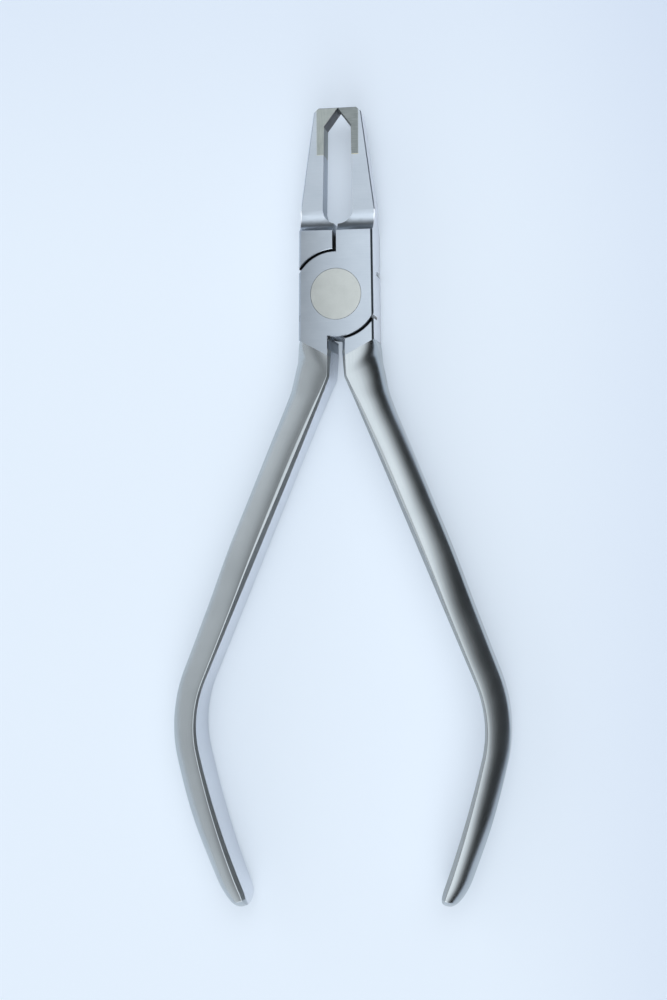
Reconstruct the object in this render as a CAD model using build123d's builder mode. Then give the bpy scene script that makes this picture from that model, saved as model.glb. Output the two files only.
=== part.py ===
from build123d import *
import os
from math import atan2, cos, degrees, radians, sin, tan

os.makedirs("parts", exist_ok=True)

# Straight lap-joint pliers for taking off brackets, closed and lying on their back.
# The origin is on the pivot axis at the back face of the joint. +Y runs to the tips and +Z to the front face.
# Two levers from the same forging cross at the joint. The front lever has the right jaw and the left handle.
# The rear lever is the same forging turned by half a turn about the long axis.

# Lap joint
joint_thickness = 9.3
joint_width = 12.34
joint_flare = 0.55  # degrees by which each side of the joint opens towards the handles
joint_face_top = 10.55  # end of the flat joint faces on the jaw side
cove_length = 3.6  # over which the joint's thickness falls to the jaw's
plate_bulge = 0.85  # by which the rounded edge of each lap plate reaches past the joint's sides
shoulder_clearance = 0.4  # between a plate's edge and the other lever's shoulder
lap_clearance = 0.06  # between the two flat lap faces
edge_chamfer = 0.32  # outer long edges of the joint
edge_break = 0.1  # small chamfer on the machined edges

# Pivot pin: large flush head in front, tail riveted flush at the back
shank_radius = 2.5
head_radius = 4.2
head_height = 1.7
tail_radius = 3.1
tail_height = 0.9
head_edge_break = 0.04
pin_running_clearance = 0.03  # in the front lever, which turns on the pin
pin_press_clearance = 0.005  # in the rear lever, which the pin is riveted to

# Jaws
jaw_tip = 31.15
jaw_base = 14.15  # where the sides of the jaws start to taper
jaw_base_width = 12.4
jaw_tip_width = 7.7
jaw_base_thickness = 4.5
jaw_tip_thickness = 4.1
tip_bevel = 0.12  # across the front and the back of the tips
jaw_edge_chamfer = 0.16  # along the outer edges of the jaws
tip_corner = 0.75  # outer corner of each tip, cut off
closed_gap = 0.06  # left between the tips when the pliers are closed

# Slot between the jaws, roofed by the two slanting edges under the tips
slot_end_y = 14.3
slot_end_radius = 2.5
roof_half_width = 2.24
roof_angle = 37.0  # degrees between a roof edge and the long axis
tip_land = 0.2  # short flat where the tips meet, above the roof
roof_bevel = 0.15  # bevel along the roof edge, on one face of each insert
split_near = 0.1  # split line below the slot, on the side of a lever's own plate
split_far = 0.55  # the same on the side of its shoulder

# Hard alloy insert brazed into each jaw
insert_outer = 3.44
insert_bottom = 23.4
braze_film = 0.07

# Handle, laid out along the edge of its flat inner face
crotch_half_width = 1.0  # half the gap between the handles at the joint
neck_half_gap = 1.26  # and where the handles start to part
root_inner_y = -10.3  # where the flat joint face ends, at the inner face
root_angle = 28.0  # degrees by which that end slants
neck_bend_y = -13.6
neck_angle = 24.0
shank_angle = 22.95
shank_length = 54.3
grip_bend_radius = 20.2
grip_bend_angle = 37.2
tail_radius_of_curve = 160.0
tail_length = 26.2
inner_chamfer = 0.5
outer_flat = 1.2  # flat stretch in the middle of a handle's rounded back
front_flat = 0.35  # flat stretch beside the inner chamfer
end_crown = 2.0  # rounding of the handle's end, seen from the side
end_outer_length = 6.0  # over which the rounded back falls away to the end
end_outer_depth = 2.2
end_inner_length = 1.5  # the same for the flat inner face
end_inner_depth = 0.9
end_margin = 0.25  # by which the rounding cuts start outside the handle's sides

# Width and thickness of the handle's section at stations along it, counted from the neck
neck_width = 6.3
neck_thickness = 8.7
neck_corner_width = 3.8  # how far the rounded back reaches over the width here
neck_corner_depth = 2.9  # and over the thickness
shank_top_at = 5.0
shank_top_width = 5.3
shank_top_thickness = 7.9
shank_upper_at = 14.0
shank_upper_width = 5.3
shank_upper_thickness = 7.7
shank_lower_at = 33.0
shank_lower_width = 5.15
shank_lower_thickness = 8.6
grip_top_width = 4.4
grip_width = 4.3
grip_thickness = 9.2
tail_top_width = 4.5
tail_top_thickness = 9.1
tail_middle_at = 9.0
tail_middle_width = 4.6
tail_middle_thickness = 8.8
end_width = 4.0
end_thickness = 7.4
grip_sections = 8  # that the grip and the tail are lofted through

cut_margin = 1.0  # by which cutting outlines run past the part

# Places that follow from the sizes above
mid_plane = joint_thickness / 2
flare = tan(radians(joint_flare))
plate_radius = joint_width / 2 + plate_bulge
shoulder_radius = plate_radius + shoulder_clearance
cove_depth = (joint_thickness - jaw_base_thickness) / 2
jaw_taper = (jaw_base_width - jaw_tip_width) / 2 / (jaw_tip - jaw_base)
roof_corner_y = jaw_tip - tip_land - (roof_half_width - closed_gap / 2) / tan(radians(roof_angle))
slot_slope = (slot_end_radius - roof_half_width) / (roof_corner_y - slot_end_y)
slot_half_at_insert = roof_half_width + slot_slope * (roof_corner_y - insert_bottom)
pocket_outer = insert_outer + braze_film
pocket_bottom = insert_bottom - braze_film
root_width = (joint_width / 2 - crotch_half_width - flare * root_inner_y) / (
    cos(radians(root_angle)) + flare * sin(radians(root_angle))
)
quarter_pull = 0.5523  # makes a cubic curve follow a quarter ellipse
past_tip = jaw_tip + cut_margin
above_joint = joint_thickness + cut_margin
tolerance = edge_break / 10  # for telling edges apart by where they lie
long_axis = Axis((0, 0, mid_plane), (0, 1, 0))


def joint_side(y):
    """Half width of the joint at the height y."""
    return joint_width / 2 - flare * y


def outer_side(y):
    """Half width of the forging at the height y, over the joint and the jaws."""
    if y <= joint_face_top:
        return joint_side(y)
    if y <= jaw_base:
        part_way = (y - joint_face_top) / (jaw_base - joint_face_top)
        return joint_side(joint_face_top) * (1 - part_way) + jaw_base_width / 2 * part_way
    return jaw_tip_width / 2 + jaw_taper * (jaw_tip - y)


def turned(piece):
    """The same piece on the other lever, half a turn about the long axis."""
    return piece.rotate(long_axis, 180)


# What is cut from the front and back of the jaws: cove, thinning towards the tip, bevel across the tip
with BuildPart() as jaw_relief:
    cove_end = joint_face_top + cove_length
    base_face = mid_plane + jaw_base_thickness / 2
    tip_face = mid_plane + jaw_tip_thickness / 2
    with BuildSketch(Plane.YZ):
        with BuildLine():
            EllipticalCenterArc(
                (cove_end, joint_thickness - edge_break),
                cove_length,
                cove_depth - edge_break,
                start_angle=180,
                arc_size=90,
            )
            Polyline(
                (cove_end, base_face),
                (jaw_tip - tip_bevel, tip_face),
                (jaw_tip, tip_face - tip_bevel),
                (past_tip, tip_face - tip_bevel),
                (past_tip, above_joint),
                (joint_face_top - edge_break, above_joint),
                (joint_face_top - edge_break, joint_thickness),
                (joint_face_top, joint_thickness - edge_break),
            )
        make_face()
    extrude(amount=joint_width, both=True)
    mirror(about=Plane.XY.offset(mid_plane))

# The outer corner cut from each tip
with BuildPart() as corner_relief:
    with BuildSketch():
        with BuildLine():
            Polyline(
                (outer_side(jaw_tip - tip_corner), jaw_tip - tip_corner),
                (outer_side(jaw_tip) - tip_corner, jaw_tip),
                (outer_side(jaw_tip) - tip_corner, past_tip),
                (outer_side(jaw_tip) + tip_corner, past_tip),
                (outer_side(jaw_tip) + tip_corner, jaw_tip - tip_corner),
                close=True,
            )
        make_face()
    extrude(amount=joint_thickness)

# What is cut along the outer front and back edges of the right jaw, running out at the cove
with BuildPart() as jaw_edge_relief:
    edge_start = Vector(outer_side(jaw_base), jaw_base, base_face)
    along_edge = Vector(outer_side(jaw_tip), jaw_tip, tip_face) - edge_start
    with BuildSketch(Plane(edge_start, (1, 0, 0), along_edge).offset(cove_end - jaw_base)):
        with BuildLine():
            Polyline(
                (-2 * jaw_edge_chamfer, -jaw_edge_chamfer),
                (jaw_edge_chamfer, 2 * jaw_edge_chamfer),
                (jaw_edge_chamfer, -jaw_edge_chamfer),
                close=True,
            )
        make_face()
    extrude(amount=past_tip - cove_end)
    mirror(about=Plane.XY.offset(mid_plane))

# The slot between the jaws, widened to the pockets of the two inserts
with BuildPart() as slot_relief:
    with BuildSketch():
        with BuildLine():
            Polyline(
                (-slot_end_radius, slot_end_y),
                (-slot_half_at_insert, pocket_bottom),
                (-pocket_outer, pocket_bottom),
                (-pocket_outer, past_tip),
                (pocket_outer, past_tip),
                (pocket_outer, pocket_bottom),
                (slot_half_at_insert, pocket_bottom),
                (slot_end_radius, slot_end_y),
            )
            ThreePointArc(
                (slot_end_radius, slot_end_y),
                (0, slot_end_y - slot_end_radius),
                (-slot_end_radius, slot_end_y),
            )
        make_face()
    extrude(amount=joint_thickness)


def jaw_outline(split):
    """Outline of the right jaw and its side of the joint, from the split line outwards."""
    with BuildLine() as outline:
        Polyline(
            (split, 0),
            (joint_side(0), 0),
            (outer_side(joint_face_top), joint_face_top),
            (outer_side(jaw_base), jaw_base),
            (outer_side(jaw_tip), jaw_tip),
            (split, jaw_tip),
            close=True,
        )
    return outline.line


def root_outline():
    """Outline of the left handle's root, down to the slanting end of the flat joint face."""
    outer_y = root_inner_y + root_width * sin(radians(root_angle))
    with BuildLine() as outline:
        Polyline(
            (-crotch_half_width, 0),
            (-joint_side(0), 0),
            (-joint_side(outer_y), outer_y),
            (-crotch_half_width, root_inner_y),
            close=True,
        )
    return outline.line


def is_outer_edge(edge):
    """True for the long front and back edges on the outside of the forging."""
    middle = edge.position_at(0.5)
    on_side = abs(abs(middle.X) - outer_side(middle.Y)) < tolerance
    on_face = abs(middle.Z - mid_plane) > mid_plane - tolerance
    return on_side and on_face


def is_crotch_edge(edge):
    """True for the front and back edges of the handle's inner face beside the joint."""
    middle = edge.position_at(0.5)
    on_inner_face = abs(middle.X + crotch_half_width) < tolerance
    on_face = abs(middle.Z - mid_plane) > mid_plane - tolerance
    return on_inner_face and on_face


def is_plate_edge(edge):
    """True for the arcs that bound the joint's front and back faces round the lap plates."""
    on_face = abs(edge.position_at(0.5).Z - mid_plane) > mid_plane - tolerance
    return on_face and edge.geom_type == GeomType.CIRCLE


def corner_curve(start, end, corner, bow):
    """Curve across a corner of a section: straight when bow is 0, a quarter ellipse when bow is 1."""
    first = start + (end - start) * ((1 - bow) / 3) + (corner - start) * (bow * quarter_pull)
    second = end + (start - end) * ((1 - bow) / 3) + (corner - end) * (bow * quarter_pull)
    return Bezier(start, first, second, end)


def handle_section(plane, width, thickness, corner_width, corner_depth, bow):
    """Section of a handle: flat inner face, two inner chamfers and a rounded back."""
    half = thickness / 2
    with BuildSketch(plane) as section:
        with BuildLine():
            Line((0, inner_chamfer - half), (0, half - inner_chamfer))
            Line((width, corner_depth - half), (width, half - corner_depth))
            for face in (1, -1):
                shoulder = Vector(width - corner_width, face * half)
                back = Vector(width, face * (half - corner_depth))
                Polyline((0, face * (half - inner_chamfer)), (inner_chamfer, face * half), shoulder)
                corner_curve(shoulder, back, Vector(width, face * half), bow)
        make_face()
    return section.sketch


def across(point, direction):
    """Plane square to a handle at a point of its inner edge, with x pointing outwards."""
    return Plane(
        origin=(point.X, point.Y, mid_plane),
        x_dir=(direction.Y, -direction.X, 0),
        z_dir=(direction.X, direction.Y, 0),
    )


def slanted(angle):
    """Direction down the left handle that leans outwards by an angle in degrees."""
    return Vector(-sin(radians(angle)), -cos(radians(angle)))


# The front edge of the left handle's inner face: shank, bend of the grip, tail
with BuildLine() as inner_edge:
    neck_point = Vector(-neck_half_gap, neck_bend_y)
    shank = Line(neck_point, neck_point + slanted(shank_angle) * shank_length)
    grip_bend = JernArc(shank @ 1, shank % 1, grip_bend_radius, grip_bend_angle)
    tail = JernArc(
        grip_bend @ 1, grip_bend % 1, tail_radius_of_curve, degrees(tail_length / tail_radius_of_curve)
    )
path = inner_edge.wire()
tail_start = shank_length + grip_bend.length
handle_length = tail_start + tail_length
stations = (
    (shank_top_at, shank_top_width, shank_top_thickness),
    (shank_upper_at, shank_upper_width, shank_upper_thickness),
    (shank_lower_at, shank_lower_width, shank_lower_thickness),
    (shank_length, grip_top_width, grip_thickness),
    (shank_length + grip_bend.length / 2, grip_width, grip_thickness),
    (tail_start, tail_top_width, tail_top_thickness),
    (tail_start + tail_middle_at, tail_middle_width, tail_middle_thickness),
    (handle_length, end_width, end_thickness),
)


def section_at(distance):
    """Section of the handle at a distance along its inner edge, sized between the stations."""
    for before, after in zip(stations, stations[1:]):
        if distance <= after[0]:
            break
    part_way = (distance - before[0]) / (after[0] - before[0])
    width, thickness = (a + (b - a) * part_way for a, b in zip(before[1:], after[1:]))
    plane = across(
        path.position_at(distance, PositionMode.LENGTH),
        path.tangent_at(distance, PositionMode.LENGTH),
    )
    corner_width = width - inner_chamfer - front_flat
    return handle_section(plane, width, thickness, corner_width, (thickness - outer_flat) / 2, 1)


# The left handle: neck, straight shank, and the bent grip with its tail
with BuildPart() as handle:
    root_point = Vector(-crotch_half_width, root_inner_y)
    root = handle_section(
        across(root_point, slanted(root_angle)),
        root_width,
        joint_thickness,
        edge_chamfer,
        edge_chamfer,
        0,
    )
    neck = handle_section(
        across(neck_point, slanted(neck_angle)),
        neck_width,
        neck_thickness,
        neck_corner_width,
        neck_corner_depth,
        1,
    )
    loft([root, neck, section_at(shank_top_at)])
    loft([section_at(station[0]) for station in stations[:4]], ruled=True)
    grip_step = (handle_length - shank_length) / (grip_sections - 1)
    loft([section_at(shank_length + grip_step * step) for step in range(grip_sections)])

    # Rounding of the end, seen from the front
    end_plane = across(tail @ 1, tail % 1)
    front_view = Plane(origin=end_plane.origin, x_dir=end_plane.x_dir, z_dir=(0, 0, 1))
    with BuildSketch(front_view):
        with BuildLine():
            EllipticalCenterArc(
                (end_width - end_outer_depth, -end_outer_length),
                end_outer_depth + end_margin,
                end_outer_length,
                start_angle=0,
                arc_size=90,
            )
            Line((end_width - end_outer_depth, 0), (end_inner_depth, 0))
            EllipticalCenterArc(
                (end_inner_depth, -end_inner_length),
                end_inner_depth + end_margin,
                end_inner_length,
                start_angle=90,
                arc_size=90,
            )
            Polyline(
                (-end_margin, -end_inner_length),
                (-end_width, -end_inner_length),
                (-end_width, end_width),
                (2 * end_width, end_width),
                (2 * end_width, -end_outer_length),
                (end_width + end_margin, -end_outer_length),
            )
        make_face()
    extrude(amount=joint_thickness, both=True, mode=Mode.SUBTRACT)

    # Rounding of the end, seen from the side
    side_view = Plane(origin=end_plane.origin, x_dir=end_plane.z_dir, z_dir=end_plane.x_dir)
    with BuildSketch(side_view):
        with BuildLine():
            half = end_thickness / 2
            ThreePointArc((-end_crown, -half), (0, 0), (-end_crown, half))
            Polyline(
                (-end_crown, half),
                (-end_crown, end_thickness),
                (end_thickness, end_thickness),
                (end_thickness, -end_thickness),
                (-end_crown, -end_thickness),
                (-end_crown, -half),
            )
        make_face()
    extrude(amount=2 * end_width, both=True, mode=Mode.SUBTRACT)


# The forging that both levers are made from, before its pivot is bored
with BuildPart() as forging:
    # The half of the joint's thickness that holds its own lap plate
    with BuildSketch(Plane.XY.offset(mid_plane + lap_clearance / 2)):
        Circle(plate_radius)
        with BuildLine():
            Polyline(
                (joint_side(plate_radius), plate_radius),
                (joint_side(-plate_radius), -plate_radius),
                (-joint_side(-plate_radius), -plate_radius),
                (-joint_side(plate_radius), plate_radius),
                close=True,
            )
        make_face(mode=Mode.INTERSECT)
        make_face(jaw_outline(split_near))
        make_face(root_outline())
    extrude(amount=mid_plane - lap_clearance / 2)

    # The other half, hollowed out for the other lever's plate
    with BuildSketch():
        make_face(jaw_outline(split_far))
        make_face(root_outline())
        Circle(shoulder_radius, mode=Mode.SUBTRACT)
    extrude(amount=mid_plane + lap_clearance / 2)

    # Chamfers along the outside, the crotch and the lap plates
    chamfer(forging.edges().filter_by(is_outer_edge), edge_chamfer)
    chamfer(forging.edges().filter_by(is_crotch_edge), inner_chamfer)
    chamfer(forging.edges().filter_by(is_plate_edge), edge_break)

    # The jaw, thinned and slotted, and the handle
    for relief in (slot_relief, jaw_relief, jaw_edge_relief, corner_relief):
        add(relief.part, mode=Mode.SUBTRACT)
    add(handle.part)

# Right jaw, front lap plate and left handle, bored and counterbored for the pin
with BuildPart() as front_lever:
    add(forging.part)
    with Locations((0, 0, joint_thickness)):
        CounterBoreHole(
            radius=shank_radius + pin_running_clearance,
            counter_bore_radius=head_radius + pin_running_clearance,
            counter_bore_depth=head_height + pin_running_clearance,
        )

# Left jaw, rear lap plate and right handle, countersunk at the back for the riveted tail
with BuildPart() as rear_lever:
    add(turned(forging.part))
    with Locations(Location((0, 0, 0), (180, 0, 0))):
        CounterSinkHole(
            radius=shank_radius + pin_press_clearance,
            counter_sink_radius=tail_radius + pin_press_clearance,
            counter_sink_angle=2 * degrees(atan2(tail_radius - shank_radius, tail_height)),
        )

# The pin, turned in one piece and riveted over into the countersink
with BuildPart() as pivot_pin:
    with BuildSketch(Plane.XZ):
        with BuildLine():
            Polyline(
                (0, 0),
                (tail_radius, 0),
                (shank_radius, tail_height),
                (shank_radius, joint_thickness - head_height),
                (head_radius, joint_thickness - head_height),
                (head_radius, joint_thickness - head_edge_break),
                (head_radius - head_edge_break, joint_thickness),
                (0, joint_thickness),
                close=True,
            )
        make_face()
    revolve(axis=Axis.Z)

# Insert of the right jaw: a bar along the slot, cut away under the tip to leave the slanting edge
with BuildPart() as right_tip_insert:
    with BuildSketch():
        with BuildLine():
            Polyline(
                (closed_gap / 2, jaw_tip),
                (closed_gap / 2, jaw_tip - tip_land),
                (roof_half_width, roof_corner_y),
                (slot_half_at_insert, insert_bottom),
                (insert_outer, insert_bottom),
                (insert_outer, jaw_tip),
                close=True,
            )
        make_face()
    extrude(amount=joint_thickness)
    add(jaw_relief.part, mode=Mode.SUBTRACT)
    add(corner_relief.part, mode=Mode.SUBTRACT)

    # Bevel along the front of the slanting edge
    up_the_roof = (-sin(radians(roof_angle)), cos(radians(roof_angle)), 0)
    into_insert = (cos(radians(roof_angle)), sin(radians(roof_angle)), 0)
    with BuildSketch(Plane((roof_half_width, roof_corner_y, tip_face), into_insert, up_the_roof)):
        with BuildLine():
            Polyline(
                (-roof_bevel, -roof_bevel),
                (-roof_bevel, 2 * roof_bevel),
                (2 * roof_bevel, -roof_bevel),
                close=True,
            )
        make_face()
    extrude(amount=jaw_tip - roof_corner_y + roof_half_width, mode=Mode.SUBTRACT)

# The film of braze behind and under the insert
with BuildPart() as right_braze_seam:
    with BuildSketch():
        with BuildLine():
            Polyline(
                (slot_half_at_insert, pocket_bottom),
                (pocket_outer, pocket_bottom),
                (pocket_outer, jaw_tip),
                (insert_outer, jaw_tip),
                (insert_outer, insert_bottom),
                (slot_half_at_insert, insert_bottom),
                close=True,
            )
        make_face()
    extrude(amount=joint_thickness)
    add(jaw_relief.part, mode=Mode.SUBTRACT)
    add(corner_relief.part, mode=Mode.SUBTRACT)

with BuildPart() as left_tip_insert:
    add(turned(right_tip_insert.part))

with BuildPart() as left_braze_seam:
    add(turned(right_braze_seam.part))

pieces = {
    "front_lever": front_lever,
    "rear_lever": rear_lever,
    "pivot_pin": pivot_pin,
    "right_tip_insert": right_tip_insert,
    "left_tip_insert": left_tip_insert,
    "right_braze_seam": right_braze_seam,
    "left_braze_seam": left_braze_seam,
}
for name, piece in pieces.items():
    piece.part.label = name
    export_step(piece.part, f"parts/{name}.step")
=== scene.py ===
import bmesh
import bpy
from math import asin, cos, degrees, pi, radians, sin, sqrt
from mathutils import Matrix, Vector


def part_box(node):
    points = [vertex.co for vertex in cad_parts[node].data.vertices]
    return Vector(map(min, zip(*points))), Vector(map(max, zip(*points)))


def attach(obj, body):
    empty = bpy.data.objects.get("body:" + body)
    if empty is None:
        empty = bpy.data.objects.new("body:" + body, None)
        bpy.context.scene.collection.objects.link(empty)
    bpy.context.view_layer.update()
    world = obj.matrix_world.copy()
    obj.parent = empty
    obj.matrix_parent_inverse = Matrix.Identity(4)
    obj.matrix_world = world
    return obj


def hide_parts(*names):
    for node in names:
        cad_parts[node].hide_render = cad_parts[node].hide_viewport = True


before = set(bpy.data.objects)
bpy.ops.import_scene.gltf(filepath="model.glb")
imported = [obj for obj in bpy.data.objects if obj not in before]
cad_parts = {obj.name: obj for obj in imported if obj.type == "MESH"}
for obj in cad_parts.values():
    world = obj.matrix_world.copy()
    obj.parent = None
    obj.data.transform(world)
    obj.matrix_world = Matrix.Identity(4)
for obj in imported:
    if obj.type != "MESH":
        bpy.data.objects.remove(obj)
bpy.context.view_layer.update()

# The camera looks nearly straight down on the pliers, from a little to their right, upright picture.
# Turns are in radians, lengths in metres. The pivot's centre is placed by its pixel in the picture.
picture_width = 667
picture_height = 1000
focal_pixels = 1500
view_distance = 0.246
camera_yaw = 0.1658
camera_pitch = 0.0066
camera_roll = 0.0056
pivot_pixel_x = 335.7
pivot_pixel_y = 293.7
turn = (
    Matrix.Rotation(camera_pitch, 3, "X")
    @ Matrix.Rotation(-camera_yaw, 3, "Y")
    @ Matrix.Rotation(camera_roll, 3, "Z")
)
pivot_front = Vector((0, 0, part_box("pivot_pin")[1].z))
sight = Vector((
    (pivot_pixel_x - picture_width / 2) / focal_pixels,
    (picture_height / 2 - pivot_pixel_y) / focal_pixels,
    -1,
))
shift = sight * view_distance - turn @ pivot_front
camera_data = bpy.data.cameras.new("camera")
camera_data.sensor_width = 36
camera_data.lens = camera_data.sensor_width * focal_pixels / picture_height
camera_data.clip_start = 0.01
camera = bpy.data.objects.new("camera", camera_data)
camera.matrix_world = turn.transposed().to_4x4()
camera.location = -(turn.transposed() @ shift)
bpy.context.scene.collection.objects.link(camera)
bpy.context.scene.camera = camera
bpy.context.scene.view_settings.view_transform = "Standard"

# The surroundings: a white tent of light, dim low on the right and beyond the tips, grey up left.
# Their brightness depends on how far a direction leans from straight up, to the right and to the tips.


class Field:
    """A number that changes over a surface or a sky. Arithmetic on it adds Math nodes to its look.

    A comparison gives 1 where it holds and 0 elsewhere, and | gives the larger of two numbers.
    """

    def __init__(self, look, socket):
        self.look = look
        self.socket = socket

    def math(self, operation, *values):
        """What one more Math node makes of the values."""
        made = self.look.node("ShaderNodeMath", {"operation": operation}, dict(enumerate(values)))
        return Field(self.look, made.outputs[0])

    def __add__(self, other):
        return self.math("ADD", self, other)

    def __sub__(self, other):
        return self.math("SUBTRACT", self, other)

    def __rsub__(self, other):
        return self.math("SUBTRACT", other, self)

    def __mul__(self, other):
        return self.math("MULTIPLY", self, other)

    def __truediv__(self, other):
        return self.math("DIVIDE", self, other)

    def __pow__(self, other):
        return self.math("POWER", self, other)

    def __abs__(self):
        return self.math("ABSOLUTE", self)

    def __lt__(self, other):
        return self.math("LESS_THAN", self, other)

    def __gt__(self, other):
        return self.math("GREATER_THAN", self, other)

    def __or__(self, other):
        return self.math("MAXIMUM", self, other)

    __radd__ = __add__
    __rmul__ = __mul__


class Look:
    """The node tree of a material or of the surroundings, built up from nothing."""

    def __init__(self, owner):
        self.owner = owner
        owner.use_nodes = True
        owner.node_tree.nodes.clear()

    def node(self, kind, settings, sockets):
        """One node: its settings first, then a value or a link for each of the sockets named."""
        made = self.owner.node_tree.nodes.new(kind)
        for name, value in settings.items():
            if name == "stops":
                elements = made.color_ramp.elements
                while len(elements) < len(value):
                    elements.new(1)
                for element, (place, colour) in zip(elements, value):
                    element.position = place
                    element.color = (*colour, 1) if isinstance(colour, tuple) else (colour, colour, colour, 1)
            else:
                setattr(made, name, value)
        for name, value in sockets.items():
            if isinstance(value, Field):
                value = value.socket
            if isinstance(value, bpy.types.NodeSocket):
                self.owner.node_tree.links.new(value, made.inputs[name])
            else:
                made.inputs[name].default_value = value
        return made

    def field(self, kind, settings, sockets, output=0):
        """The number that one output of a new node gives."""
        return Field(self, self.node(kind, settings, sockets).outputs[output])

    def coordinates(self, system):
        """The place that is being shaded, in one of the systems that Texture Coordinate has."""
        return self.node("ShaderNodeTexCoord", {}, {}).outputs[system]

    def parts(self, vector):
        """The three numbers that a vector is made of."""
        made = self.node("ShaderNodeSeparateXYZ", {}, {0: vector})
        return [Field(self, output) for output in made.outputs]

    def ramp(self, field, stops):
        """A colour looked up along a field that runs from 0 to 1."""
        return self.node("ShaderNodeValToRGB", {"stops": stops}, {"Fac": field}).outputs["Color"]

    def mix(self, factor, first, second, blend="MIX"):
        """Two colours mixed by a factor."""
        settings = {"data_type": "RGBA", "blend_type": blend}
        return self.node("ShaderNodeMix", settings, {0: factor, 6: first, 7: second}).outputs[2]


# Degrees of lean and the brightness there
side_glows = (
    (-90, 0.53), (-60, 0.52), (-46, 0.44), (-36, 0.26), (-26, 0.2), (-18, 0.52), (-4, 1.04),
    (20, 1.04), (32, 0.73), (42, 0.36), (52, 0.09), (62, 0.012), (78, 0.02), (90, 0.035),
)
tip_glows = (
    (-90, 2.7), (-65, 2.5), (-45, 1.4), (-25, 1.05), (-16, 0.9), (-10, 0.95), (0, 1.0),
    (13, 1.0), (20, 1.2), (30, 1.75), (40, 1.9), (54, 0.62), (68, 0.12), (90, 0.1),
)
glow_scale = 3  # keeps the ramps' colours within 0 to 1
tent_colour = (0.92, 0.965, 1.0, 1)
tent_strength = 1.4
world = bpy.data.worlds.new("light_tent")
bpy.context.scene.world = world
sky = Look(world)
lean_x, lean_y, lean_up = sky.parts(sky.coordinates("Generated"))
right_lean = lean_x.math("ARCTAN2", lean_x, lean_up) / pi + 0.5
tip_lean = lean_y.math("ARCSINE", lean_y) / pi + 0.5
side_glow = sky.ramp(right_lean, [(lean / 180 + 0.5, glow / glow_scale) for lean, glow in side_glows])
tip_glow = sky.ramp(tip_lean, [(lean / 180 + 0.5, glow / glow_scale) for lean, glow in tip_glows])
glow = sky.mix(1, side_glow, tip_glow, "MULTIPLY")
glow = sky.mix(1, glow, tent_colour, "MULTIPLY")
shine = sky.node("ShaderNodeBackground", {}, {"Color": glow, "Strength": tent_strength * glow_scale ** 2})
sky.node("ShaderNodeOutputWorld", {}, {"Surface": shine.outputs[0]})

# The table: a pale blue-white sheet under the pliers, painted a little greyer to the right and beyond the
# tips, painted shade where the light falls off.
# To the camera it is partly evenly lit, which softens the shadow on it.
floor_size = 12
floor_drop = 0.00002  # keeps it from lying in the same plane as the back of the joint
right_fade = (0.02, 0.08)  # where it turns greyer to the right
tip_fade = (0.0, 0.09)  # and beyond the tips
right_share = 0.75
tip_share = 0.5
near_colour = (0.86, 0.92, 1.0)
shaded_far_colour = (0.69, 0.755, 0.89)
even_tint = (0.88, 0.94, 0.99, 1)
even_share = 0.35
bpy.ops.mesh.primitive_plane_add(size=floor_size)
floor = bpy.context.object
floor.name = "floor"
floor.location.z = -floor_drop
floor_look = Look(bpy.data.materials.new("table_sheet"))
floor_x, floor_y = floor_look.parts(floor_look.coordinates("Object"))[:2]


def smooth_step(look, field, start, end):
    """Rises gently from 0 to 1 while the field goes from start to end."""
    sockets = {"Value": field, "From Min": start, "From Max": end}
    return look.field("ShaderNodeMapRange", {"interpolation_type": "SMOOTHSTEP"}, sockets)


# Painted shade: the sheet's colour greys towards the right and beyond the tips, where the light on it falls
# off.
to_right = smooth_step(floor_look, floor_x, *right_fade)
to_tips = smooth_step(floor_look, floor_y, *tip_fade)
painted_shade_share = to_right * right_share + to_tips * tip_share
floor_colour = floor_look.ramp(painted_shade_share, [(0, near_colour), (1, shaded_far_colour)])
paper = floor_look.node("ShaderNodeBsdfPrincipled", {}, {
    "Base Color": floor_colour,
    "Roughness": 0.9,
    "Specular IOR Level": 0.0,
})
even_light = floor_look.node("ShaderNodeEmission", {}, {
    "Color": floor_look.mix(1, floor_colour, even_tint, "MULTIPLY"),
})
seen = floor_look.field("ShaderNodeLightPath", {}, {}, "Is Camera Ray")
sheet = floor_look.node("ShaderNodeMixShader", {}, {
    0: seen * even_share, 1: paper.outputs[0], 2: even_light.outputs[0],
})
floor_look.node("ShaderNodeOutputMaterial", {}, {"Surface": sheet.outputs[0]})
floor.data.materials.append(floor_look.owner)

# The two levers: steel forgings, each a jaw, its half of the lap joint and a handle in one.
# The jaw and the joint are ground flat. The handle is flat inside, with a ground chamfer along each
# inner edge, and rounded outside. It blends into the flat joint face along a slanting line.
mm = 0.001  # from here on, sizes are in millimetres, slants and bends in degrees
joint_thickness = 9.3
mid_plane = joint_thickness / 2
root_x = 1.0  # where the ground joint ends and the handle goes on
root_y = -10.3
root_slant = 28.0
neck_x = 1.26  # where the straight shank begins
neck_y = -13.6
neck_slant = 24.0
shank_slant = 22.95
grip_radius = 20.2
handle_length = 93.6
row_step = 0.7  # between two sections
line_step = 0.05  # between two points of the line that they lie on
strip_drop = 0.02  # how much lower the front strip is beside the chamfer
curve_steps = 22
edge_steps = 5
edge_start = 23.5  # angle round the edge of the flat stretch at which the back's curve meets it
edge_width_rate = 1.07  # width and depth of that edge, for each share of the curve that it replaces
edge_drop_rate = 3.6
end_crown = 1.5
end_gap = 0.01  # keeps the last section from shrinking to a line
end_outer_length = 6.0
end_outer_depth = 2.2
end_inner_length = 3.0
end_inner_depth = 1.1
end_rows = 20
girth = 25 * mm  # length given to the way round the handle in its UV map
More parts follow.
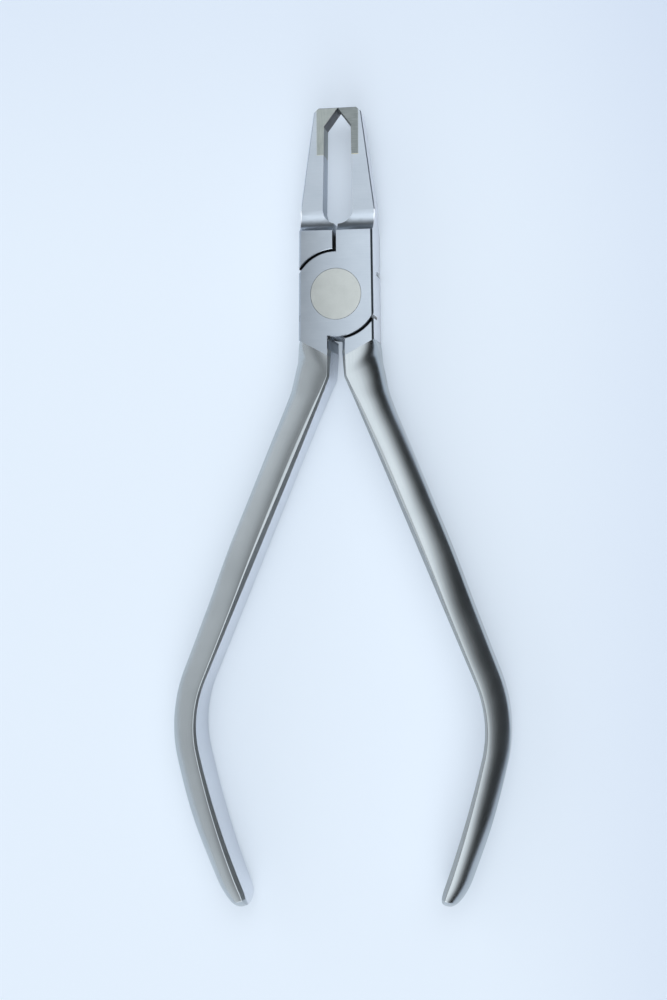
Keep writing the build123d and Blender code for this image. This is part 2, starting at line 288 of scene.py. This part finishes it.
# Distance down the handle, then the section's width, thickness, chamfer, front strip, squareness of the
# rounded back, crease between it and the strip in degrees, flat stretch in the middle of the back, and
# the share of the back's full curve that is there before it breaks off at the edge of that flat stretch
handle_stations = (
    (-4.3, 5.6, 9.2, 0.52, 0.05, 10, 0, 1.5, 0.985),
    (-3.31, 5.97, 9.25, 0.52, 0.05, 6, 1.5, 1.5, 0.985),
    (-1.5, 6.28, 9.05, 0.42, 0.05, 2.5, 8, 1.6, 0.985),
    (0, 6.25, 8.75, 0.38, 0.06, 1.9, 12, 1.7, 0.985),
    (2.5, 5.85, 8.3, 0.38, 0.15, 1.8, 12, 1.6, 0.98),
    (5, 5.45, 7.95, 0.42, 0.3, 1.68, 12, 1.4, 0.95),
    (14, 5.35, 7.7, 0.55, 0.45, 1.62, 10, 1.4, 0.9),
    (24, 5.25, 8.1, 0.62, 0.38, 1.55, 12, 1.7, 0.86),
    (33, 5.15, 8.6, 0.66, 0.25, 1.42, 12, 2.6, 0.86),
    (43, 4.75, 8.95, 0.5, 0.15, 1.3, 12, 2.7, 0.86),
    (54.3, 4.4, 9.2, 0.36, 0.12, 1.28, 12, 3.2, 0.86),
    (60.8, 4.3, 9.2, 0.38, 0.1, 1.3, 12, 3.3, 0.86),
    (67.4, 4.4, 9.1, 0.45, 0.1, 1.4, 12, 2.6, 0.86),
    (76.4, 4.45, 8.8, 0.55, 0.1, 1.55, 12, 1.9, 0.88),
    (84, 4.2, 8.3, 0.62, 0.12, 1.95, 12, 1.0, 0.95),
    (handle_length, 3.9, 7.6, 0.68, 0.15, 2.25, 10, 0.3, 0.98),
)
# By how much each handle was ground wider, the lengths of its shank and in all, and how its grip
# was bent: the angle of the bend in degrees and the radius of the tail
hand_finish = {
    "front_lever": (0.05, 54.6, 94.1, 35.9, 150.0),
    "rear_lever": (-0.25, 54.3, 92.6, 36.3, 210.0),
}
full_grinding = 8.0  # distance down the handle from which it has that width


def sizes_at(along):
    """Sizes of the section at a distance down the handle, smoothed between the stations."""
    rows = handle_stations
    k = max(i for i in range(len(rows) - 1) if rows[i][0] <= along or i == 0)
    before, start, end, after = rows[max(k - 1, 0)], rows[k], rows[k + 1], rows[min(k + 2, len(rows) - 1)]
    length = end[0] - start[0]
    part = min(max((along - start[0]) / length, 0), 1)
    found = []
    for a, b, c, d in zip(before[1:], start[1:], end[1:], after[1:]):
        slope_in = (c - a) / (end[0] - before[0]) * length
        slope_out = (d - b) / (after[0] - start[0]) * length
        found.append(
            b * (2 * part ** 3 - 3 * part ** 2 + 1) + slope_in * (part ** 3 - 2 * part ** 2 + part)
            + c * (3 * part ** 2 - 2 * part ** 3) + slope_out * (part ** 3 - part ** 2)
        )
    return found


def handle_line(shank, end, turn, tail_radius):
    """Points down the inner edge of the left handle: distance, place and slant of the section."""
    rows = []
    stretch = sqrt((neck_x - root_x) ** 2 + (neck_y - root_y) ** 2)
    along = handle_stations[0][0]
    while along < 0:
        part = -along / stretch
        x = -neck_x + (neck_x - root_x) * part
        y = neck_y + (root_y - neck_y) * part
        rows.append((along, x, y, neck_slant + (root_slant - neck_slant) * min(part, 1)))
        along += row_step / 2
    x, y, along = -neck_x, neck_y, 0
    next_row = 0
    while along < end - end_crown:
        slant = shank_slant
        if along > shank:
            slant -= min(degrees((along - shank) / grip_radius), turn)
            slant -= degrees(max(along - shank - grip_radius * radians(turn), 0) / tail_radius)
        if along >= next_row:
            rows.append((along, x, y, slant))
            next_row += row_step
        x -= sin(radians(slant)) * line_step
        y -= cos(radians(slant)) * line_step
        along += line_step
    for k in range(end_rows + 1):
        here = end - end_gap - end_crown * (1 - sin(pi / 2 * k / end_rows))
        on = here - along
        rows.append((here, x - sin(radians(slant)) * on, y - cos(radians(slant)) * on, slant))
    return rows


def section(along, widening, end):
    """Points round the handle: distance out from the inner edge, height above the middle, sharp or not."""
    width, thickness, chamfer, strip, square, crease, back_flat, share = sizes_at(along)
    width += widening * min(max(along / full_grinding, 0), 1)
    half = thickness / 2
    front = [
        (0, 0, False),
        (0, half / 2, False),
        (0, half - chamfer, True),
        (chamfer, half - strip_drop, True),
        (chamfer + strip, half, True),
    ]
    # The rounded back, from the crease to where its curve breaks off
    first = radians(max(crease, 0)) * (square / 2) ** 2
    last = asin(share ** (square / 2))
    start = sin(first) ** (2 / square)
    edge_width = edge_width_rate * (1 - share)
    edge_drop = edge_drop_rate * (1 - share)
    for k in range(1, curve_steps + 1):
        angle = first + (last - first) * k / curve_steps
        reach = (sin(angle) ** (2 / square) - start) / (share - start)
        fall = (cos(angle) / cos(first)) ** (2 / square)
        out = chamfer + strip + (width - edge_width - chamfer - strip) * reach
        height = back_flat / 2 + (half - back_flat / 2) * fall
        front.append((out, height, False))
    # The rounded edge of the flat stretch
    for k in range(1, edge_steps + 1):
        angle = radians(edge_start + (90 - edge_start) * k / edge_steps)
        left = (1 - sin(angle)) / (1 - sin(radians(edge_start)))
        fall = cos(radians(edge_start)) - cos(angle)
        front.append((width - edge_width * left, height - edge_drop * fall, False))
    ring = front + [(out, -height, sharp) for out, height, sharp in reversed(front[1:])]
    # The rounding towards the handle's end
    left = end - along
    outer_cut = end_outer_depth * (1 - sqrt(1 - max(1 - left / end_outer_length, 0) ** 2))
    inner_cut = end_inner_depth * (1 - sqrt(1 - max(1 - left / end_inner_length, 0) ** 2))
    bow = (half ** 2 + end_crown ** 2) / (2 * end_crown)
    crown = sqrt(bow ** 2 - (bow - min(left, end_crown)) ** 2) / half
    squeeze = (width - outer_cut - inner_cut) / width
    return [(inner_cut + out * squeeze, height * crown, sharp) for out, height, sharp in ring]


pattern_low = 0.3  # nearly all of a pattern lies between these two
pattern_high = 0.7


def noise(look, vector, scale, detail):
    """A cloudy pattern of numbers round 0.5. The scale is its repeats in a metre."""
    return look.field("ShaderNodeTexNoise", {}, {"Vector": vector, "Scale": scale, "Detail": detail})


def lines(look, vector, repeats):
    """Such a pattern drawn out into lines, by its repeats in a metre along each axis."""
    stretched = look.node("ShaderNodeMapping", {}, {"Vector": vector, "Scale": repeats}).outputs[0]
    return noise(look, stretched, scale=1, detail=3)


def tone(look, pattern, dark, pale):
    """A colour that goes from dark to pale with a pattern."""
    return look.ramp(pattern, [(pattern_low, dark), (pattern_high, pale)])


def bare_metal(look, colour, roughness, relief):
    """Finishes a look as bare metal. The relief is a height in metres."""
    bump = look.node("ShaderNodeBump", {}, {"Height": relief, "Distance": 1.0, "Strength": 1.0})
    metal = look.node("ShaderNodeBsdfPrincipled", {}, {
        "Base Color": colour,
        "Metallic": 1,
        "Roughness": roughness,
        "Normal": bump.outputs[0],
    })
    look.node("ShaderNodeOutputMaterial", {}, {"Surface": metal.outputs[0]})


# The ground steel of the jaws and the joint. Its sides are painted pale, as painted light, its gaps and its
# right front edge dark, as painted shade, and its front and back faces very slightly domed. In the crotch
# between the handles the forging's skin is left pitted, with darkened pits.
face_domes = 7.5  # fall of a face, for the square of the distance from its middle line, in metres
dome_fade = (9.5, 12.0)  # places up the joint between which the doming ends
face_skin = 0.005  # how far from the true face still counts as on it
face_top = 10.4  # upper end of the joint's flat face
plate_gap = (6.95, 7.5)  # radii between which the gap round a lap plate lies
plate_gap_half = 6.1
crotch_half = 1.05
split_half = 0.6  # the gap between the levers above the joint
split_bottom = 7.0
gap_edge = 0.15  # how deep under a face the gaps start to be dark
pitted_half = 1.7
pitted = (-7.7, -6.4)
pit_depth = 0.2
pit_from = 0.52
pit_darkness = 0.7
joint_side_at = 6.05
joint_side_half = 4.3
jaw_side_at = 8.12
jaw_taper = 0.1382
jaw_side_bottom = 14.2
jaw_side_half = 1.95
right_edge_at = 5.7
right_edge_half = 4.33
right_edge_painted_reflection = 0.75
side_painted_light = (0.82, 0.83, 0.87, 1)
gap_shade_and_pit_colour = (0.09, 0.095, 0.1, 1)
ground_dark = (0.395, 0.44, 0.495)
ground_pale = (0.465, 0.51, 0.565)
ground_lines = (300, 9000, 9000)
line_height = 0.0012  # of the ground lines, and of the grain on both levers
joint_roughness = 0.26
patch_roughness = 0.08  # how much rougher the cloudy patches are, on the handles too
pit_roughness = 0.2
joint_look = Look(bpy.data.materials.new("ground_joint_steel"))
place = joint_look.coordinates("Object")
joint_x, joint_y, joint_up = joint_look.parts(place)
grinding = lines(joint_look, place, ground_lines)
grain = noise(joint_look, place, scale=7000, detail=2)
cloud = noise(joint_look, place, scale=260, detail=3)
pits = noise(joint_look, place, scale=2600, detail=3)
off_middle = abs(joint_x)
from_middle = abs(joint_up - mid_plane * mm)
from_axis = (joint_x * joint_x + joint_y * joint_y) ** 0.5
on_face = from_middle > (mid_plane - face_skin) * mm
on_joint = 1 - smooth_step(joint_look, joint_y, *(height * mm for height in dome_fade))
in_crotch = (off_middle < crotch_half * mm) * (joint_y < 0)
in_plate_gap = (
    (from_axis > plate_gap[0] * mm)
    * (from_axis < plate_gap[1] * mm)
    * (off_middle < plate_gap_half * mm)
    * (1 - in_crotch)
)
in_split = (off_middle < split_half * mm) * (joint_y > split_bottom * mm) * (joint_y < face_top * mm)
in_gap = (in_plate_gap | in_split) * (from_middle < (mid_plane - gap_edge) * mm)
at_crotch = (
    (off_middle < pitted_half * mm) * (joint_y > pitted[0] * mm) * (joint_y < pitted[1] * mm) * (1 - on_face)
)
in_pit = at_crotch * (pits > pit_from)
on_joint_side = (off_middle > joint_side_at * mm) * (from_middle < joint_side_half * mm)
on_jaw_side = (
    (off_middle + joint_y * jaw_taper > jaw_side_at * mm)
    * (joint_y > jaw_side_bottom * mm)
    * (from_middle < jaw_side_half * mm)
)
on_right_edge = (
    (joint_x > right_edge_at * mm)
    * (joint_y < face_top * mm)
    * (from_middle > right_edge_half * mm)
    * (1 - on_face)
)
steel = tone(joint_look, cloud * 0.5 + grinding * 0.35 + grain * 0.15, ground_dark, ground_pale)
# Painted light: the sides of the joint and the jaws are painted pale, for the pale table that they mirror.
steel = joint_look.mix(on_joint_side | on_jaw_side, steel, side_painted_light)
# The pits in the crotch are darkened with the same colour.
steel = joint_look.mix(in_pit * pit_darkness, steel, gap_shade_and_pit_colour)
# Painted shade: the gaps round the lap plates and between the levers are painted dark, and so is a line along
# the joint's right front edge, a painted dark reflection on its chamfer.
steel = joint_look.mix(in_gap | on_right_edge * right_edge_painted_reflection, steel, gap_shade_and_pit_colour)
dome = joint_x * joint_x * on_joint * on_face * -face_domes
pitting = pits * at_crotch * (pit_depth * mm)
relief = dome + grinding * (line_height * mm) + grain * (line_height * mm) + pitting
roughness = joint_roughness + cloud * patch_roughness + at_crotch * pit_roughness
bare_metal(joint_look, steel, roughness, relief)

# The satin steel of the handles, brushed along them. The flat inner face is painted paler than the rounded
# back, painted light from the pale table that it mirrors, and the chamfers beside it are a little rougher.
satin_dark = (0.45, 0.485, 0.505)
satin_pale = (0.52, 0.555, 0.575)
inner_face_painted_light = (0.74, 0.765, 0.81, 1)
brush_lines = (120, 5000, 1)
brush_height = 0.0015
handle_roughness = 0.21
chamfer_roughness = 0.16
handle_look = Look(bpy.data.materials.new("satin_handle_steel"))
strokes = handle_look.coordinates("UV")
place = handle_look.coordinates("Object")
brushing = lines(handle_look, strokes, brush_lines)
grain = noise(handle_look, place, scale=6000, detail=2)
cloud = noise(handle_look, place, scale=180, detail=3)
around = len(section(0, 0, handle_length))
off_back = abs(handle_look.parts(strokes)[1] - girth / 2)
on_inner_face = off_back > girth * (0.5 - 2 / around)
on_chamfer = (off_back > girth * (0.5 - 3 / around)) * (1 - on_inner_face)
steel = tone(handle_look, cloud * 0.45 + brushing * 0.4 + grain * 0.15, satin_dark, satin_pale)
# Painted light: the flat inner face is painted pale, for the pale table that it mirrors.
steel = handle_look.mix(on_inner_face, steel, inner_face_painted_light)
relief = brushing * (brush_height * mm) + grain * (line_height * mm)
roughness = handle_roughness + cloud * patch_roughness + on_chamfer * chamfer_roughness
bare_metal(handle_look, steel, roughness, relief)


def jaw_and_joint(name, side):
    """The ground half of a lever: the part's own solid, cut off where its handle begins."""
    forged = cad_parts[name].data.copy()
    normals = [0.0] * (3 * len(forged.loops))
    forged.corner_normals.foreach_get("vector", normals)
    forged.attributes.new("ground_normal", "FLOAT_VECTOR", "CORNER").data.foreach_set("vector", normals)
    lever = bmesh.new()
    lever.from_mesh(forged)
    bmesh.ops.remove_doubles(lever, verts=lever.verts, dist=0.0005 * mm)
    cut = bmesh.ops.bisect_plane(
        lever,
        geom=lever.verts[:] + lever.edges[:] + lever.faces[:],
        dist=0.0001 * mm,
        plane_co=(-side * root_x * mm, root_y * mm, 0),
        plane_no=(-side * sin(radians(root_slant)), -cos(radians(root_slant)), 0),
        clear_outer=True,
    )
    rim = [item for item in cut["geom_cut"] if isinstance(item, bmesh.types.BMEdge)]
    bmesh.ops.edgeloop_fill(lever, edges=rim)
    for face in lever.faces:
        face.material_index = 0
        face.smooth = True
    return lever


def add_handle(lever, side, widening, shank, end, turn, tail_radius):
    """The handle, as rings of points down its line. Its upper end lies inside the joint."""
    strokes_map = lever.loops.layers.uv.new("strokes")
    rows = []
    for along, x, y, slant in handle_line(shank, end, turn, tail_radius):
        ring = []
        for out, height, sharp in section(along, widening, end):
            at = (
                side * (x - out * cos(radians(slant))) * mm,
                (y + out * sin(radians(slant))) * mm,
                (mid_plane + side * height) * mm,
            )
            ring.append(lever.verts.new(at))
        rows.append((along, ring))
    made = []
    for (along, ring), (next_along, next_ring) in zip(rows, rows[1:]):
        for k in range(around):
            n = (k + 1) % around
            face = lever.faces.new((ring[k], ring[n], next_ring[n], next_ring[k]))
            spots = ((along, k), (along, k + 1), (next_along, k + 1), (next_along, k))
            for corner, (distance, index) in zip(face.loops, spots):
                corner[strokes_map].uv = (distance * mm, index / around * girth)
            made.append(face)
    caps = (rows[0][1], rows[-1][1])
    made += [lever.faces.new(cap) for cap in caps]
    for face in made:
        face.material_index = 1
        face.smooth = True
    sharp_columns = [k for k, spot in enumerate(section(shank, widening, end)) if spot[2]]
    for (along, ring), (next_along, next_ring) in zip(rows, rows[1:]):
        for k in sharp_columns:
            lever.edges.get((ring[k], next_ring[k])).smooth = False
    for cap in caps:
        for k in range(around):
            lever.edges.get((cap[k], cap[(k + 1) % around])).smooth = False
    bmesh.ops.recalc_face_normals(lever, faces=made)


for name, side in (("front_lever", 1), ("rear_lever", -1)):
    lever = jaw_and_joint(name, side)
    add_handle(lever, side, *hand_finish[name])
    mesh = bpy.data.meshes.new(name + "_forging")
    lever.to_mesh(mesh)
    lever.free()
    kept_normals = [Vector(item.vector) for item in mesh.attributes["ground_normal"].data]
    mesh.normals_split_custom_set(kept_normals)
    mesh.attributes.remove(mesh.attributes["ground_normal"])
    mesh.materials.append(joint_look.owner)
    mesh.materials.append(handle_look.owner)
    piece = bpy.data.objects.new(name + "_forging", mesh)
    bpy.context.scene.collection.objects.link(piece)
    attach(piece, name)
    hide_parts(name)

# The pivot pin: one turned steel pin, its large head ground flush with the joint's front face.
# The face of the head has a fine frosted finish, a little paler and warmer than the levers.
frosted_dark = (0.46, 0.48, 0.465)
frosted_pale = (0.54, 0.56, 0.545)
frost_height = 0.004
pin_roughness = 0.36
pin_patch_roughness = 0.1
pin_look = Look(bpy.data.materials.new("frosted_pin_steel"))
place = pin_look.coordinates("Object")
frost = noise(pin_look, place, scale=9000, detail=2)
cloud = noise(pin_look, place, scale=500, detail=3)
pin_x = pin_look.parts(place)[0]
steel = tone(pin_look, cloud * 0.6 + frost * 0.4, frosted_dark, frosted_pale)
relief = pin_x * pin_x * -face_domes + frost * (frost_height * mm)
bare_metal(pin_look, steel, pin_roughness + cloud * pin_patch_roughness, relief)


def dress(name, look):
    """Gives a solid of the part a look in place of its plain one."""
    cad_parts[name].data.materials.clear()
    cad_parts[name].data.materials.append(look.owner)


dress("pivot_pin", pin_look)

# The two tip inserts: bars of grey-green hard alloy, brazed into the jaws and ground with them.
# The right one is darker, with faint lines across. The lines of the left one run along the jaw.
# The slanting face under the left tip, here called its roof, is painted dark, painted shade.
insert_finish = {
    "left_tip_insert": ((6000, 500, 6000), (0.27, 0.295, 0.285), (0.365, 0.39, 0.377)),
    "right_tip_insert": ((500, 6000, 6000), (0.17, 0.19, 0.19), (0.26, 0.28, 0.28)),
}
roof_painted_shade = (0.12, 0.12, 0.125, 1)
roof_angle = radians(37)
roof_top_x = -0.03
roof_top_y = 30.95
roof_end_x = -2.26
roof_skin = 0.06
streak_height = 0.002
alloy_roughness = 0.3
alloy_patch_roughness = 0.12
for name, (repeats, dark, pale) in insert_finish.items():
    alloy_look = Look(bpy.data.materials.new(name.replace("tip_insert", "hard_alloy")))
    place = alloy_look.coordinates("Object")
    streaks = lines(alloy_look, place, repeats)
    cloud = noise(alloy_look, place, scale=900, detail=3)
    alloy_x, alloy_y = alloy_look.parts(place)[:2]
    off_roof = (alloy_x - roof_top_x * mm) * cos(roof_angle) - (alloy_y - roof_top_y * mm) * sin(roof_angle)
    on_left_roof = (abs(off_roof) < roof_skin * mm) * (alloy_x > roof_end_x * mm)
    alloy = tone(alloy_look, streaks * 0.6 + cloud * 0.4, dark, pale)
    # Painted shade: the left roof is painted dark.
    alloy = alloy_look.mix(on_left_roof, alloy, roof_painted_shade)
    roughness = alloy_roughness + cloud * alloy_patch_roughness
    bare_metal(alloy_look, alloy, roughness, streaks * (streak_height * mm))
    dress(name, alloy_look)

# The braze: a thin film of pale yellow alloy behind and under each insert, ground flush.
# The yellow shows only under the insert, where the film is thicker. Behind it the film looks grey.
film_dark, film_pale = (0.36, 0.39, 0.4), (0.46, 0.49, 0.5)
yellow_dark, yellow_pale = (0.6, 0.54, 0.36), (0.8, 0.75, 0.54)
film_bottom = 0.12  # height of the part of the film that lies under the insert
pore_depth = 0.006
braze_roughness = 0.35
pore_roughness = 0.15
for name, yellow in (("left_braze_seam", 0.35), ("right_braze_seam", 1.0)):
    braze_look = Look(bpy.data.materials.new(name.replace("seam", "alloy")))
    place = braze_look.coordinates("Object")
    pores = noise(braze_look, place, scale=5000, detail=3)
    under_insert = braze_look.parts(place)[1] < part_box(name)[0].y + film_bottom * mm
    grey = tone(braze_look, pores, film_dark, film_pale)
    gold = tone(braze_look, pores, yellow_dark, yellow_pale)
    braze = braze_look.mix(under_insert * yellow, grey, gold)
    bare_metal(braze_look, braze, braze_roughness + pores * pore_roughness, pores * (pore_depth * mm))
    dress(name, braze_look)
